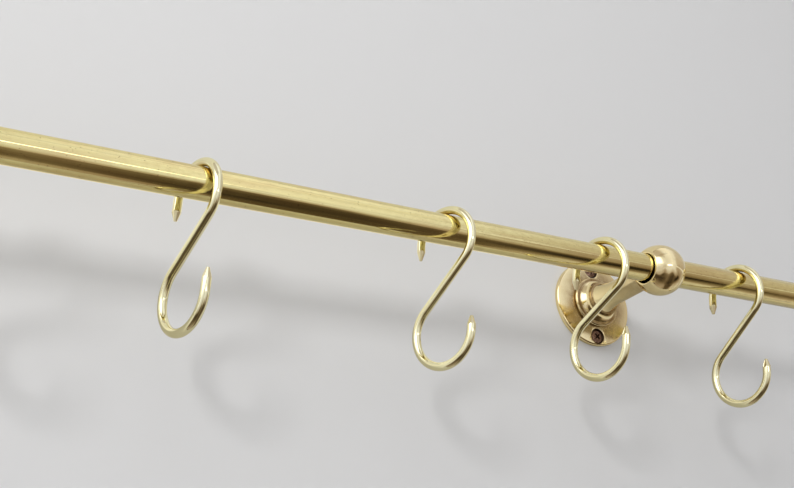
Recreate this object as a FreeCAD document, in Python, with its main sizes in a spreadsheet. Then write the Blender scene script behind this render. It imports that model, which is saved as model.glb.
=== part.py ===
"""A brass wall rail with S-hooks: a tube held off the wall by two ball brackets, with hooks of bent wire.

Millimetres. The origin is on the wall, midway between the brackets, at the height of the rail.
+X runs along the rail, +Y goes into the wall and +Z is up.
"""
import FreeCAD, Part
import math
import os

import Sketcher
from FreeCAD import Placement, Rotation, Vector

doc = FreeCAD.newDocument("wall_rail")
sheet = doc.addObject("Spreadsheet::Sheet", "sizes")

# Driving dimensions: name, value and what it measures
SIZES = [
    ("rail_length", 900, "tube from end to end"),
    ("rail_diameter", 16, "outside of the tube"),
    ("rail_wall", 1.2, "wall of the tube"),
    ("rail_stand_off", 64, "axis of the rail from the wall"),
    ("bracket_spacing", 600, "between the two brackets"),
    ("rose_diameter", 54, "plate on the wall"),
    ("rose_rim", 3, "height of the plate at its rim"),
    ("rose_rim_round", 1.3, "rounding of the rim"),
    ("rose_crown", 4.4, "height of the plate under the arm"),
    ("foot_diameter", 31.5, "foot of the arm, over its bead"),
    ("foot_bead", 1.3, "radius of the bead"),
    ("foot_ledge", 0.9, "step between the bead and the cove"),
    ("cove_radius", 7.5, "hollow of the cove"),
    ("collar_diameter", 20.5, "small collar above the cove"),
    ("collar_base", 7.4, "start of the collar above the rose"),
    ("collar_height", 2, "length of the collar"),
    ("collar_step", 1, "step in from the collar to the shank"),
    ("flare_radius", 42, "hollow of the flared shank"),
    ("flare_length", 13, "length of the flare"),
    ("arm_diameter", 14, "shank above the flare"),
    ("arm_end_diameter", 12.8, "shank where it meets the ball"),
    ("ball_diameter", 29.2, "ball that the rail passes through"),
    ("ball_rim", 1.2, "flat rim around the bore of the ball"),
    ("rail_clearance", 0.6, "bore of the ball beyond the rail, in radius"),
    ("bore_drop", 0.4, "middle of the bore below the rail, which the grub screw presses up"),
    ("thread_clearance", 0.05, "all round a screw in its tapped hole"),
    ("thread_chamfer", 0.5, "at the ends of a stud or grub screw"),
    ("end_clearance", 0.5, "beyond the end of a screw"),
    ("joint_thread", 6, "screw and stud inside the bracket"),
    ("joint_grip", 12, "depth of the fixing screw in the arm"),
    ("stud_grip", 10, "depth of the stud in the arm"),
    ("fixing_head", 11, "head of the fixing screw"),
    ("fixing_sink", 0.4, "fixing screw below the back of the rose"),
    ("grub_thread", 4, "screw that locks the rail"),
    ("grub_sink", 0.6, "grub screw below the face of the ball"),
    ("grub_socket", 2, "across the flats of its socket"),
    ("grub_angle", 50, "down from the arm round to the grub screw"),
    ("screw_spacing", 43, "between the two wall screws of a bracket"),
    ("screw_diameter", 4.2, "shank of a wall screw"),
    ("screw_neck", 4.6, "neck under its head, which tapers to the shank at the wall"),
    ("screw_clearance", 0.2, "all round the neck in its hole"),
    ("screw_head", 7.8, "head of a wall screw"),
    ("screw_seat", 2.7, "top of the head above the wall"),
    ("screw_length", 38, "wall screw over all"),
    ("screw_plain", 14, "shank from the head to the thread"),
    ("screw_pitch", 2, "thread of the wall screw"),
    ("screw_point", 5, "length of its point"),
    ("screw_root", 3, "root of its thread"),
    ("recess_span", 4.4, "cross recess from end to end"),
    ("recess_width", 1.1, "arm of the cross recess"),
    ("recess_depth", 1.6, "depth of the cross recess"),
    ("cap_diameter", 20, "end cap"),
    ("cap_collar", 3, "straight edge of the cap"),
    ("cap_height", 8, "end cap beyond the tube"),
    ("cap_spigot", 14, "spigot inside the tube"),
    ("cap_clearance", 0.05, "all round the spigot"),
    ("wire_diameter", 4.4, "wire of a hook"),
    ("upper_loop", 16.3, "radius of the upper loop to the middle of the wire"),
    ("lower_loop", 17.2, "radius of the lower loop to the middle of the wire"),
    ("loop_spacing", 48, "between the middles of the two loops of an even hook"),
    ("point_length", 5, "ground point of the wire"),
    ("point_end", 1.5, "blunt end of the point"),
    ("hook_gap", 0.2, "between a hook and the rail"),
]

# Hooks from left to right: place along the rail, turn about the vertical, lean of the foot to the wall and
# where the wire touches the rail from its top towards the room, in degrees, the straight ends at the back
# and the front, and what bending by hand added between the loops
HOOKS = [
    (-360, 14, 7, 10, 4.3, 3.2, -0.8),
    (-254, 17, 8, 4, 3.8, 1.8, 0.5),
    (-163, 15, 6, 15, 4.6, 4.2, -0.5),
    (-68, 19, 8, 7, 4, 2.8, 0.3),
    (28.6, 16.6, 8.5, 21, 4.3, 5.5, -1),
    (158.4, 22.1, 5.4, 1, 3, 1.2, 0.4),
    (257, 16.1, 8.3, 0.5, 4.7, 4.1, -4.6),
    (360, 10.5, 6.5, 18.5, 4.2, 1.8, 0.1),
]

for number, (place, turn, lean, touch, back_leg, front_leg, stretch) in enumerate(HOOKS, 1):
    SIZES.append((f"place_{number}", place, f"hook {number} along the rail"))
    SIZES.append((f"turn_{number}", turn, f"hook {number} about the vertical, in degrees"))
    SIZES.append((f"lean_{number}", lean, f"hook {number} towards the wall, in degrees"))
    SIZES.append((f"touch_{number}", touch, f"where hook {number} touches the rail, in degrees"))
    SIZES.append((f"back_leg_{number}", back_leg, f"straight end of hook {number} behind the rail"))
    SIZES.append((f"front_leg_{number}", front_leg, f"straight end at the front of hook {number}"))
    SIZES.append((f"stretch_{number}", stretch, f"added between the loops of hook {number}"))

for row, (name, value, meaning) in enumerate(SIZES, 1):
    sheet.set(f"A{row}", meaning)
    sheet.set(f"B{row}", str(value))
    sheet.setAlias(f"B{row}", name)
doc.recompute()


class Size:
    """A number together with the expression that gives it from the sheet."""

    def __init__(self, value, text):
        self.value = float(value)
        self.text = text

    def join(self, other, sign, value):
        return Size(value, f"({self.text} {sign} {as_size(other).text})")

    def __add__(self, other):
        return self.join(other, "+", self.value + as_size(other).value)

    def __sub__(self, other):
        return self.join(other, "-", self.value - as_size(other).value)

    def __mul__(self, other):
        return self.join(other, "*", self.value * as_size(other).value)

    def __truediv__(self, other):
        return self.join(other, "/", self.value / as_size(other).value)

    def root(self):
        return Size(math.sqrt(self.value), f"sqrt({self.text})")


def as_size(value):
    """A plain number as a size."""
    return value if isinstance(value, Size) else Size(value, str(value))


def size(name):
    """A size from the sheet."""
    return Size(sheet.get(name), f"sizes.{name}")


ZERO = as_size(0)
BODIES = []


def new_body(label):
    body = doc.addObject("PartDesign::Body", label)
    body.Label = label
    BODIES.append(body)
    return body


def origin_item(body, role):
    """One of the body's own axes or planes."""
    return [item for item in body.Origin.OriginFeatures if item.Role == role][0]


def new_sketch(body, name, plane, height=None, turn=None):
    """A sketch on one of the body's own planes, lifted by a size or turned where asked."""
    sketch = body.newObject("Sketcher::SketchObject", name)
    sketch.AttachmentSupport = [(origin_item(body, plane), "")]
    sketch.MapMode = "FlatFace"
    if turn is not None:
        sketch.AttachmentOffset = Placement(Vector(), turn)
    if height is not None:
        sketch.setExpression("AttachmentOffset.Base.z", height.text)
    return sketch


def bind(sketch, kind, *where_and_size):
    """A dimension of the sketch, tied to the sheet."""
    *where, length = where_and_size
    index = sketch.addConstraint(Sketcher.Constraint(kind, *where, length.value))
    sketch.setExpression(f"Constraints[{index}]", length.text)


def pin_point(sketch, curve, end, x, y):
    """Holds one end of a curve at two sizes measured from the sketch's origin."""
    for kind, axis, length in (("DistanceX", -2, x), ("DistanceY", -1, y)):
        if length.text == ZERO.text:
            sketch.addConstraint(Sketcher.Constraint("PointOnObject", curve, end, axis))
        else:
            bind(sketch, kind, -1, 1, curve, end, length)


def arc_between(start, end, radius, side):
    """An arc from start to end. Side 1 bulges to the right of the way, and -1 to the left."""
    middle = (start + end) / 2
    across = Vector(start.y - end.y, end.x - start.x, 0).normalize()
    rise = math.sqrt(max(radius ** 2 - ((end - start).Length / 2) ** 2, 0))
    centre = middle + across * (side * rise)
    first, last = (start, end) if side > 0 else (end, start)
    angles = [math.atan2(point.y - centre.y, point.x - centre.x) for point in (first, last)]
    circle = Part.Circle(centre, Vector(0, 0, 1), radius)
    return Part.ArcOfCircle(circle, angles[0], angles[1])


def outline(sketch, points, rounds=None):
    """A closed outline through the points. Rounds gives a radius and side for the run after a point."""
    rounds = rounds or {}
    places = [Vector(x.value, y.value, 0) for x, y in points]
    ends = []
    for index, start in enumerate(places):
        end = places[(index + 1) % len(places)]
        if index in rounds:
            radius, side = rounds[index]
            curve = sketch.addGeometry(arc_between(start, end, radius.value, side), False)
            ends.append((curve, 1, 2) if side > 0 else (curve, 2, 1))
        else:
            curve = sketch.addGeometry(Part.LineSegment(start, end), False)
            ends.append((curve, 1, 2))
    for index, (curve, first, last) in enumerate(ends):
        before, _, before_last = ends[index - 1]
        sketch.addConstraint(Sketcher.Constraint("Coincident", before, before_last, curve, first))
        pin_point(sketch, curve, first, *points[index])
    for index, (radius, _) in rounds.items():
        bind(sketch, "Radius", ends[index][0], radius)


def revolve(body, sketch, axis="V_Axis", kind="Revolution"):
    turned = body.newObject(f"PartDesign::{kind}", f"{body.Label}_{kind.lower()}_{sketch.Name}")
    turned.Profile = sketch
    turned.ReferenceAxis = (sketch, [axis])
    turned.Angle = 360
    sketch.Visibility = False
    return turned


def turned_body(label, points, rounds=None, axis="V_Axis"):
    """A lathe-turned piece: across the axis and along it for V_Axis, the other way round for H_Axis."""
    body = new_body(label)
    sketch = new_sketch(body, f"{label}_section", "XY_Plane")
    outline(sketch, points, rounds)
    revolve(body, sketch, axis)
    return body


def circle_at(sketch, x, y, radius):
    centre = Vector(x.value, y.value, 0)
    curve = sketch.addGeometry(Part.Circle(centre, Vector(0, 0, 1), radius.value), False)
    pin_point(sketch, curve, 3, x, y)
    bind(sketch, "Radius", curve, radius)


def pocket(body, sketch, depth, reverse=False):
    """Cuts the sketch into the body, against the sketch's normal or along it."""
    doc.recompute()
    before = body.Shape.Volume
    cut = body.newObject("PartDesign::Pocket", f"{sketch.Name}_cut")
    cut.Profile = sketch
    cut.Reversed = reverse
    cut.setExpression("Length", depth.text)
    sketch.Visibility = False
    doc.recompute()
    if body.Shape.Volume >= before:
        raise RuntimeError(f"{sketch.Name} cuts nothing")
    return cut


def cross_recess(body):
    """A cross recess sunk into the flat of a screw's head."""
    sketch = new_sketch(body, f"{body.Label}_recess", "XZ_Plane")
    long, short = size("recess_span") / 2, size("recess_width") / 2
    steps = [(long, short), (short, short), (short, long)]
    signs = [(1, 1), (-1, 1), (-1, -1), (1, -1)]
    corners = []
    for x_sign, y_sign in signs:
        quarter = steps if x_sign == y_sign else steps[::-1]
        corners += [(x * x_sign, y * y_sign) for x, y in quarter]
    outline(sketch, corners)
    pocket(body, sketch, size("recess_depth"))


# Sizes that follow from the driving ones
rail_r = size("rail_diameter") / 2
bore_r = rail_r + size("rail_clearance")
ball_r = size("ball_diameter") / 2
arm_end_r = size("arm_end_diameter") / 2
wire_r = size("wire_diameter") / 2
joint_r = size("joint_thread") / 2
joint_shank_r = joint_r - size("thread_clearance")
ball_seat = (ball_r * ball_r - arm_end_r * arm_end_r).root()
arm_length = size("rail_stand_off") - ball_seat - size("rose_crown")


def rail_tube():
    body = new_body("rail_tube")
    sketch = new_sketch(body, "rail_section", "YZ_Plane")
    circle_at(sketch, ZERO, ZERO, rail_r)
    circle_at(sketch, ZERO, ZERO, rail_r - size("rail_wall"))
    pad = body.newObject("PartDesign::Pad", "rail_pad")
    pad.Profile = sketch
    pad.SideType = "Symmetric"
    pad.setExpression("Length", size("rail_length").text)
    sketch.Visibility = False
    body.setExpression("Placement.Base.y", "-sizes.rail_stand_off")


def end_cap(label, side):
    """A domed cap with a spigot in the tube and a collar that stops the hooks."""
    spigot_r = rail_r - size("rail_wall") - size("cap_clearance")
    cap_r = size("cap_diameter") / 2
    seat = size("cap_spigot")
    dome = size("cap_height") - size("cap_collar")
    dome_radius = (cap_r * cap_r + dome * dome) / (dome * 2)
    points = [
        (ZERO, ZERO),
        (seat + size("cap_height"), ZERO),
        (seat + size("cap_collar"), cap_r),
        (seat, cap_r),
        (seat, spigot_r),
        (ZERO, spigot_r),
    ]
    body = turned_body(label, points, {1: (dome_radius, 1)}, "H_Axis")
    body.Placement = Placement(Vector(), Rotation(0 if side > 0 else 180, 0, 0))
    body.setExpression("Placement.Base.x", f"{side} * (sizes.rail_length / 2 - sizes.cap_spigot)")
    body.setExpression("Placement.Base.y", "-sizes.rail_stand_off")


def face_out(body, side, height):
    """Turns a bracket's piece to face the room and sets it on its bracket, at a height above the wall."""
    body.Placement = Placement(Vector(), Rotation(180, 0, 0))
    body.setExpression("Placement.Base.x", f"{side} * sizes.bracket_spacing / 2")
    body.setExpression("Placement.Base.y", f"-({height.text})")


def wall_rose(label, side):
    """The plate on the wall: rounded rim, low crown, two screw holes and a sunk hole behind the arm."""
    rose_r = size("rose_diameter") / 2
    head_r = size("fixing_head") / 2
    hole_r = joint_r + size("thread_clearance")
    sink = size("fixing_sink")
    rim, rim_round = size("rose_rim"), size("rose_rim_round")
    points = [
        (head_r, ZERO),
        (rose_r, ZERO),
        (rose_r, rim - rim_round),
        (rose_r - rim_round, rim),
        (size("foot_diameter") / 2, size("rose_crown")),
        (hole_r, size("rose_crown")),
        (hole_r, sink + head_r - hole_r),
        (head_r, sink),
    ]
    body = turned_body(label, points, {2: (rim_round, 1)})
    hole = new_sketch(body, f"{label}_hole", "YZ_Plane")
    screw_hole(hole)
    cut = revolve(body, hole, "Axis0", "Groove")
    pattern = body.newObject("PartDesign::PolarPattern", f"{label}_holes")
    pattern.Originals = [cut]
    pattern.Axis = (origin_item(body, "Y_Axis"), [""])
    pattern.Angle = 360
    pattern.Occurrences = 2
    body.Tip = pattern
    face_out(body, side, ZERO)


def screw_hole(sketch):
    """Half the section of a countersunk hole, beside its own axis."""
    axis = size("screw_spacing") / 2
    hole_r = size("screw_neck") / 2 + size("screw_clearance")
    head_r = size("screw_head") / 2
    seat = size("screw_seat")
    top = size("rose_crown") + size("rose_rim")
    points = [
        (ZERO, axis),
        (ZERO, axis + hole_r),
        (seat - head_r + hole_r, axis + hole_r),
        (top, axis + head_r + top - seat),
        (top, axis),
    ]
    outline(sketch, points)
    line = Part.LineSegment(Vector(0, axis.value, 0), Vector(top.value, axis.value, 0))
    centre_line = sketch.addGeometry(line, True)
    pin_point(sketch, centre_line, 1, ZERO, axis)
    pin_point(sketch, centre_line, 2, top, axis)


def bracket_arm(label, side):
    """The turned arm: beaded foot, cove, collar and flared shank, tapped at both ends."""
    foot_r = size("foot_diameter") / 2
    bead = size("foot_bead")
    collar_r = size("collar_diameter") / 2
    collar_top = size("collar_base") + size("collar_height")
    hole_r = joint_r
    screw_depth = size("joint_grip") + size("end_clearance")
    stud_depth = size("stud_grip") + size("end_clearance")
    points = [
        (hole_r, ZERO),
        (foot_r - bead, ZERO),
        (foot_r, bead),
        (foot_r - bead, bead * 2),
        (foot_r - bead - size("foot_ledge"), bead * 2),
        (collar_r, size("collar_base")),
        (collar_r, collar_top),
        (collar_r - size("collar_step"), collar_top),
        (size("arm_diameter") / 2, collar_top + size("flare_length")),
        (arm_end_r, arm_length),
        (hole_r, arm_length),
        (hole_r, arm_length - stud_depth),
        (ZERO, arm_length - stud_depth),
        (ZERO, screw_depth),
        (hole_r, screw_depth),
    ]
    rounds = {
        1: (bead, 1),
        2: (bead, 1),
        4: (size("cove_radius"), -1),
        7: (size("flare_radius"), -1),
    }
    body = turned_body(label, points, rounds)
    face_out(body, side, size("rose_crown"))


def bracket_ball(label, side):
    """A bored ball with flat rims, a seat for the arm and holes for the stud and the grub screw."""
    rim_r = bore_r + size("ball_rim")
    half = (ball_r * ball_r - rim_r * rim_r).root()
    points = [
        (half * -1, ZERO),
        (half, ZERO),
        (half, rim_r),
        (half * -1, rim_r),
    ]
    body = turned_body(label, points, {2: (ball_r, 1)}, "H_Axis")
    bore = new_sketch(body, f"{label}_bore", "YZ_Plane", half)
    circle_at(bore, ZERO, size("bore_drop") * -1, bore_r)
    pocket(body, bore, half * 2)
    seat = new_sketch(body, f"{label}_seat", "XZ_Plane", ball_seat)
    circle_at(seat, ZERO, ZERO, ball_r)
    pocket(body, seat, ball_r, True)
    stud = new_sketch(body, f"{label}_stud_hole", "XZ_Plane", ball_seat)
    circle_at(stud, ZERO, ZERO, joint_r)
    pocket(body, stud, ball_seat)
    tilt = Rotation(Vector(1, 0, 0), size("grub_angle").value)
    grub = new_sketch(body, f"{label}_grub_hole", "XZ_Plane", None, tilt)
    circle_at(grub, ZERO, ZERO, size("grub_thread") / 2)
    pocket(body, grub, ball_r, True)
    face_out(body, side, size("rail_stand_off"))


def arm_fixing_screw(label, side):
    """The countersunk screw that draws the arm onto the rose from behind."""
    head_r = size("fixing_head") / 2
    length = size("rose_crown") - size("fixing_sink") + size("joint_grip")
    points = [
        (ZERO, ZERO),
        (head_r, ZERO),
        (joint_shank_r, head_r - joint_shank_r),
        (joint_shank_r, length),
        (ZERO, length),
    ]
    body = turned_body(label, points)
    cross_recess(body)
    face_out(body, side, size("fixing_sink"))


def ball_stud(label, side):
    """The threaded stud between the arm and the ball, ending short of the rail."""
    chamfer = size("thread_chamfer")
    length = size("stud_grip") + ball_seat - bore_r
    points = [
        (ZERO, ZERO),
        (joint_shank_r - chamfer, ZERO),
        (joint_shank_r, chamfer),
        (joint_shank_r, length - chamfer),
        (joint_shank_r - chamfer, length),
        (ZERO, length),
    ]
    body = turned_body(label, points)
    face_out(body, side, size("rose_crown") + arm_length - size("stud_grip"))


def grub_screw(label, side):
    """The socket screw that locks the rail, from the rail out to just below the face of the ball."""
    shank_r = size("grub_thread") / 2 - size("thread_clearance")
    chamfer = size("thread_chamfer")
    start = rail_r + size("thread_clearance")
    length = ball_r - size("grub_sink") - start
    points = [
        (ZERO, ZERO),
        (shank_r - chamfer, ZERO),
        (shank_r, chamfer),
        (shank_r, length),
        (ZERO, length),
    ]
    body = turned_body(label, points)
    socket = new_sketch(body, f"{label}_socket", "XZ_Plane", length * -1)
    flat = size("grub_socket") / 2
    corner = flat * 2 / as_size(3).root()
    sides = [(corner, ZERO), (corner / 2, flat), (corner / -2, flat)]
    outline(socket, sides + [(x * -1, ZERO if y is ZERO else y * -1) for x, y in sides])
    pocket(body, socket, length / 2, True)
    angle = math.radians(size("grub_angle").value)
    way_out = Vector(0, math.cos(angle), -math.sin(angle))
    middle = Vector(side * size("bracket_spacing").value / 2, -size("rail_stand_off").value, 0)
    tilt = Rotation(Vector(1, 0, 0), -math.degrees(angle))
    body.Placement = Placement(middle + way_out * start.value, tilt)


def wall_screw(label, side, level):
    """A countersunk wood screw: tapered neck, plain shank, ridged thread and point."""
    head_r = size("screw_head") / 2
    neck_r = size("screw_neck") / 2
    shank_r = size("screw_diameter") / 2
    root_r = size("screw_root") / 2
    pitch = size("screw_pitch")
    flank, root_flat, crest_flat = pitch * 0.3, pitch * 0.2, pitch * 0.2
    point_start = size("screw_length") - size("screw_point")
    thread = point_start - size("screw_plain")
    points = [
        (ZERO, ZERO),
        (head_r, ZERO),
        (neck_r, head_r - neck_r),
        (shank_r, size("screw_seat")),
        (shank_r, size("screw_plain")),
    ]
    for ridge in range(int(thread.value / pitch.value)):
        start = size("screw_plain") + pitch * ridge
        crest_end = start + pitch
        points += [
            (root_r, start + flank),
            (root_r, start + flank + root_flat),
            (shank_r, crest_end - crest_flat),
            (shank_r, crest_end),
        ]
    points += [(root_r, point_start + flank), (ZERO, size("screw_length"))]
    body = turned_body(label, points)
    cross_recess(body)
    body.setExpression("Placement.Base.x", f"{side} * sizes.bracket_spacing / 2")
    body.setExpression("Placement.Base.y", "-sizes.screw_seat")
    body.setExpression("Placement.Base.z", f"{level} * sizes.screw_spacing / 2")


def bracket(name, side):
    """One bracket: rose, arm, ball and the screws that hold them together and to the wall."""
    wall_rose(f"wall_rose_{name}", side)
    bracket_arm(f"bracket_arm_{name}", side)
    bracket_ball(f"bracket_ball_{name}", side)
    arm_fixing_screw(f"arm_fixing_screw_{name}", side)
    ball_stud(f"ball_stud_{name}", side)
    grub_screw(f"grub_screw_{name}", side)
    wall_screw(f"wall_screw_{name}_upper", side, 1)
    wall_screw(f"wall_screw_{name}_lower", side, -1)


def hook_path(sketch, spacing, back, front):
    """The line of the wire: back leg, upper loop over the rail, stem, lower loop and front leg."""
    upper, lower = size("upper_loop"), size("lower_loop")
    slope = math.asin((upper.value + lower.value) / spacing.value)
    way = Vector(math.cos(slope), math.sin(slope), 0)
    low = Vector(0, -spacing.value, 0)
    upright = Vector(0, 0, 1)
    bend = Vector(upper.value, 0, 0)
    turn_up = low - Vector(lower.value, 0, 0)
    upper_circle = Part.Circle(Vector(), upright, upper.value)
    lower_circle = Part.Circle(low, upright, lower.value)
    runs = [
        Part.LineSegment(bend - Vector(0, back.value, 0), bend),
        Part.ArcOfCircle(upper_circle, 0, math.pi + slope),
        Part.LineSegment(way * -upper.value, low + way * lower.value),
        Part.ArcOfCircle(lower_circle, -math.pi, slope),
        Part.LineSegment(turn_up, turn_up + Vector(0, front.value, 0)),
    ]
    leg, upper_arc, stem, lower_arc, tip = [sketch.addGeometry(run, False) for run in runs]
    joins = [
        (leg, 2, upper_arc, 1),
        (upper_arc, 2, stem, 1),
        (stem, 2, lower_arc, 2),
        (lower_arc, 1, tip, 1),
    ]
    for join in joins:
        sketch.addConstraint(Sketcher.Constraint("Tangent", *join))
    sketch.addConstraint(Sketcher.Constraint("Vertical", leg))
    sketch.addConstraint(Sketcher.Constraint("Vertical", tip))
    sketch.addConstraint(Sketcher.Constraint("Coincident", upper_arc, 3, -1, 1))
    sketch.addConstraint(Sketcher.Constraint("PointOnObject", lower_arc, 3, -2))
    bind(sketch, "DistanceY", -1, 1, lower_arc, 3, spacing * -1)
    bind(sketch, "Radius", upper_arc, upper)
    bind(sketch, "Radius", lower_arc, lower)
    bind(sketch, "DistanceY", leg, 1, leg, 2, back)
    bind(sketch, "DistanceY", tip, 1, tip, 2, front)


def ground_point(body, name, across, start, end):
    """A blunt cone on one end of the wire."""
    sketch = new_sketch(body, f"{body.Label}_{name}", "YZ_Plane")
    blunt_r = size("point_end") / 2
    points = [(across, start), (across + wire_r, start), (across + blunt_r, end), (across, end)]
    outline(sketch, points)
    ends = [Vector(across.value, height.value, 0) for height in (start, end)]
    centre_line = sketch.addGeometry(Part.LineSegment(*ends), True)
    pin_point(sketch, centre_line, 1, across, start)
    pin_point(sketch, centre_line, 2, across, end)
    revolve(body, sketch, "Axis0")


def s_hook(number):
    """One hook: wire bent to an S, hung with the inside of its upper loop on the rail."""
    body = new_body(f"s_hook_{number}")
    back_leg, front_leg = size(f"back_leg_{number}"), size(f"front_leg_{number}")
    spacing = size("loop_spacing") + size(f"stretch_{number}")
    path = new_sketch(body, f"{body.Label}_path", "YZ_Plane")
    hook_path(path, spacing, back_leg, front_leg)
    wire = new_sketch(body, f"{body.Label}_wire", "XY_Plane", back_leg * -1)
    circle_at(wire, ZERO, size("upper_loop"), wire_r)
    pipe = body.newObject("PartDesign::AdditivePipe", f"{body.Label}_bend")
    pipe.Profile = wire
    pipe.Spine = (path, [f"Edge{run}" for run in range(1, len(path.Geometry) + 1)])
    path.Visibility = False
    wire.Visibility = False
    back_end = back_leg * -1
    front_end = front_leg - spacing
    point = size("point_length")
    ground_point(body, "back_point", size("upper_loop"), back_end, back_end - point)
    ground_point(body, "front_point", size("lower_loop") * -1, front_end, front_end + point)
    drop = size("upper_loop") - wire_r - rail_r - size("hook_gap")
    turn, lean = size(f"turn_{number}").value, size(f"lean_{number}").value
    touch = math.radians(size(f"touch_{number}").value)
    hang = Vector(0, math.sin(touch), -math.cos(touch)) * drop.value
    turning = Rotation(Vector(0, 0, 1), turn)
    leaning = Rotation(Vector(1, 0, 0), lean)
    on_rail = Vector(size(f"place_{number}").value, -size("rail_stand_off").value, 0)
    body.Placement = Placement(on_rail + turning.multVec(hang), turning * leaning)


def check_and_write():
    """Stops if any object failed, and otherwise writes one file for each piece."""
    doc.recompute()
    for item in doc.Objects:
        if "Invalid" in item.State or "Error" in item.State:
            raise RuntimeError(f"{item.Label} failed: {item.State}")
    for body in BODIES:
        if body.Shape.isNull() or not body.Shape.isValid():
            raise RuntimeError(f"{body.Label} has no valid shape")
    os.makedirs("parts", exist_ok=True)
    for body in BODIES:
        body.Shape.exportStep(f"parts/{body.Label}.step")
        print(body.Label, len(body.Shape.Solids), round(body.Shape.Volume, 1))


rail_tube()
end_cap("end_cap_left", -1)
end_cap("end_cap_right", 1)
bracket("left", -1)
bracket("right", 1)
for number in range(1, len(HOOKS) + 1):
    s_hook(number)
check_and_write()
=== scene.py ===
"""The looks of a brass wall rail with S-hooks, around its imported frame. Metres, in the frame's own axes."""

import math

import bmesh
import bpy
from mathutils import Euler, Matrix, Vector


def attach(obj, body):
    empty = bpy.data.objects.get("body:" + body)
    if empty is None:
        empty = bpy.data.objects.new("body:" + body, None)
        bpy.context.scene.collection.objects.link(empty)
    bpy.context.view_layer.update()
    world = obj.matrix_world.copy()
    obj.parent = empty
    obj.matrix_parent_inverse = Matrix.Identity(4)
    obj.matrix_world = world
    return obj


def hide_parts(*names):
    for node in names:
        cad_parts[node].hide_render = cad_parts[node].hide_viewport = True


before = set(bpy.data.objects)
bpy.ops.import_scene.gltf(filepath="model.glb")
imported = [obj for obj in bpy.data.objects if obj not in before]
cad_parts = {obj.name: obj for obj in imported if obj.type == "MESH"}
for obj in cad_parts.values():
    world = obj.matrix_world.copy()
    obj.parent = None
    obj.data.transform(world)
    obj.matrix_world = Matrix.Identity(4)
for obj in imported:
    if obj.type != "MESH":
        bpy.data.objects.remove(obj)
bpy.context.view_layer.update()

MM = 0.001
SIDES = {"left": -1, "right": 1}
# Edges that turn further than this are crisp
CRISP = math.radians(28)

# Rail and caps
RAIL_R = 8 * MM
RAIL_WALL = 1.2 * MM
RAIL_HALF = 450 * MM
STAND_OFF = 64 * MM
CAP_R = 10 * MM
CAP_COLLAR = 3 * MM
CAP_HEIGHT = 8 * MM
CAP_SPIGOT = 14 * MM
CAP_CLEARANCE = 0.05 * MM

# Brackets
BRACKET_X = 300 * MM
ROSE_R = 27 * MM
ROSE_RIM = 3 * MM
ROSE_RIM_ROUND = 1.3 * MM
ROSE_CROWN = 4.4 * MM
FOOT_R = 15.75 * MM
FOOT_BEAD = 1.3 * MM
FOOT_LEDGE = 0.9 * MM
COVE_RADIUS = 7.5 * MM
COLLAR_R = 10.25 * MM
COLLAR_BASE = 7.4 * MM
COLLAR_HEIGHT = 2 * MM
COLLAR_STEP = 1 * MM
FLARE_RADIUS = 42 * MM
FLARE_LENGTH = 13 * MM
ARM_R = 7 * MM
ARM_END_R = 6.4 * MM
BALL_R = 14.6 * MM
BALL_RIM = 1.2 * MM
BORE_R = RAIL_R + 0.6 * MM
BORE_DROP = 0.4 * MM
BORE_LIP = 0.4 * MM
BALL_SEAT = math.sqrt(BALL_R ** 2 - ARM_END_R ** 2)
ARM_LENGTH = STAND_OFF - BALL_SEAT - ROSE_CROWN
GRUB_R = 2 * MM
GRUB_ANGLE = math.radians(50)

# Screws
JOINT_R = 3 * MM
JOINT_CLEARANCE = 0.05 * MM
JOINT_GRIP = 12 * MM
STUD_GRIP = 10 * MM
END_CLEARANCE = 0.5 * MM
FIXING_HEAD_R = 5.5 * MM
FIXING_SINK = 0.4 * MM
SCREW_SPACING = 43 * MM
SCREW_SEAT = 2.7 * MM
SCREW_HEAD_R = 3.9 * MM
SCREW_HOLE_R = 2.5 * MM
HEAD_EDGE = 0.25 * MM

# Hooks
WIRE_R = 2.2 * MM
UPPER_LOOP = 16.3 * MM
LOWER_LOOP = 17.2 * MM
LOOP_SPACING = 48 * MM
POINT_LENGTH = 5 * MM
POINT_END_R = 0.75 * MM
HOOK_GAP = 0.2 * MM
FACETS = 8

# Each hook: its place along the rail, its straight ends and what bending added between its loops
# in millimetres; and in degrees its turn about the vertical, its lean to the wall, and how far its
# place of touch lies from the top of the rail, towards the room
HOOKS = [
    {"place": -360, "turn": 14, "lean": 7, "touch": 10, "back": 4.3, "front": 3.2, "stretch": -0.8},
    {"place": -254, "turn": 17, "lean": 8, "touch": 4, "back": 3.8, "front": 1.8, "stretch": 0.5},
    {"place": -163, "turn": 15, "lean": 6, "touch": 15, "back": 4.6, "front": 4.2, "stretch": -0.5},
    {"place": -68, "turn": 19, "lean": 8, "touch": 7, "back": 4, "front": 2.8, "stretch": 0.3},
    {"place": 28.6, "turn": 16.6, "lean": 8.5, "touch": 21, "back": 4.3, "front": 5.5, "stretch": -1},
    {"place": 158.4, "turn": 22.1, "lean": 5.4, "touch": 1, "back": 3, "front": 1.2, "stretch": 0.4},
    {"place": 257, "turn": 16.1, "lean": 8.3, "touch": 0.5, "back": 4.7, "front": 4.1, "stretch": -4.6},
    {"place": 360, "turn": 10.5, "lean": 6.5, "touch": 18.5, "back": 4.2, "front": 1.8, "stretch": 0.1},
]


def opaque(colour):
    """A written colour with its alpha. A socket stays as it is."""
    return (*colour, 1.0) if isinstance(colour, tuple) else colour


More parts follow.
